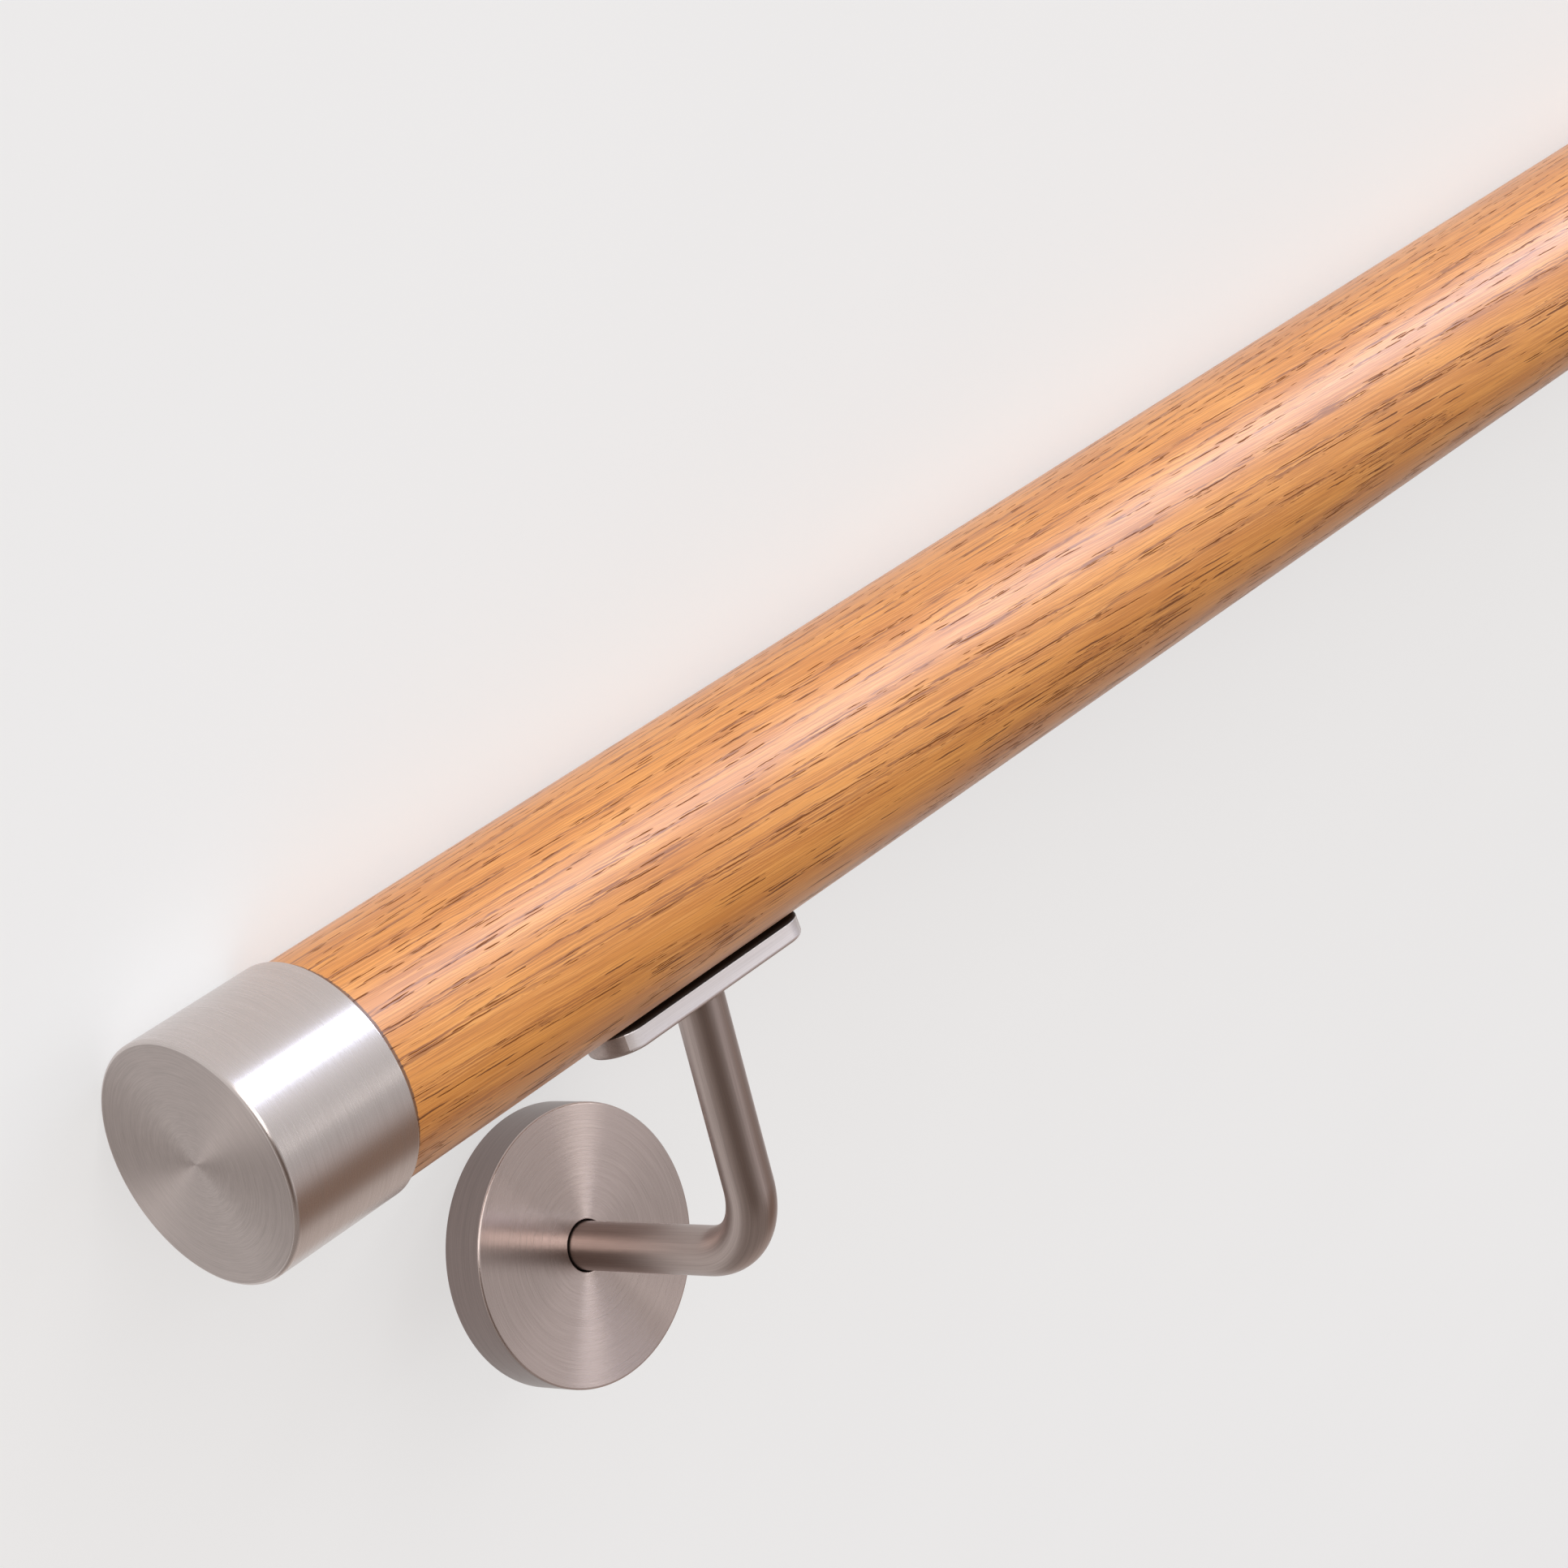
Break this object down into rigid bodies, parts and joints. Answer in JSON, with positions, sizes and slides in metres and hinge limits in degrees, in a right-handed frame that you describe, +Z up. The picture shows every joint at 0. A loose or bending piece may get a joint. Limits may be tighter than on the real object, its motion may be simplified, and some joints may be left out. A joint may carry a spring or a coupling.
{
  "type": "stair handrail length",
  "caption": "Round oak stair handrail length with brushed steel end caps, carried off the wall by bent-rod brackets with round cover rosettes and flat saddles.",
  "frame": {"origin": "middle of the box that holds the part, at the floor that it lies on", "axes": "+X along the rail towards its lower end, +Z up, the rail on the -Y side of the rosettes"},
  "size_m": [1.004, 0.1546, 0.0665],
  "materials": {
    "oak": "semi-gloss lacquer",
    "brushed_stainless": "satin, brushed",
    "plain_stainless": "plain"
  },
  "bodies": {
    "root": {"oak_rail": "oak", "lower_end_cap": "brushed_stainless", "upper_end_cap": "brushed_stainless", "lower_rosette": "brushed_stainless", "lower_wall_flange": "plain_stainless", "lower_support_rod": "brushed_stainless", "lower_saddle_plate": "brushed_stainless", "lower_saddle_screw_a": "plain_stainless", "lower_saddle_screw_b": "plain_stainless", "upper_rosette": "brushed_stainless", "upper_wall_flange": "plain_stainless", "upper_support_rod": "brushed_stainless", "upper_saddle_plate": "brushed_stainless", "upper_saddle_screw_a": "plain_stainless", "upper_saddle_screw_b": "plain_stainless"}
  },
  "joints": []
}
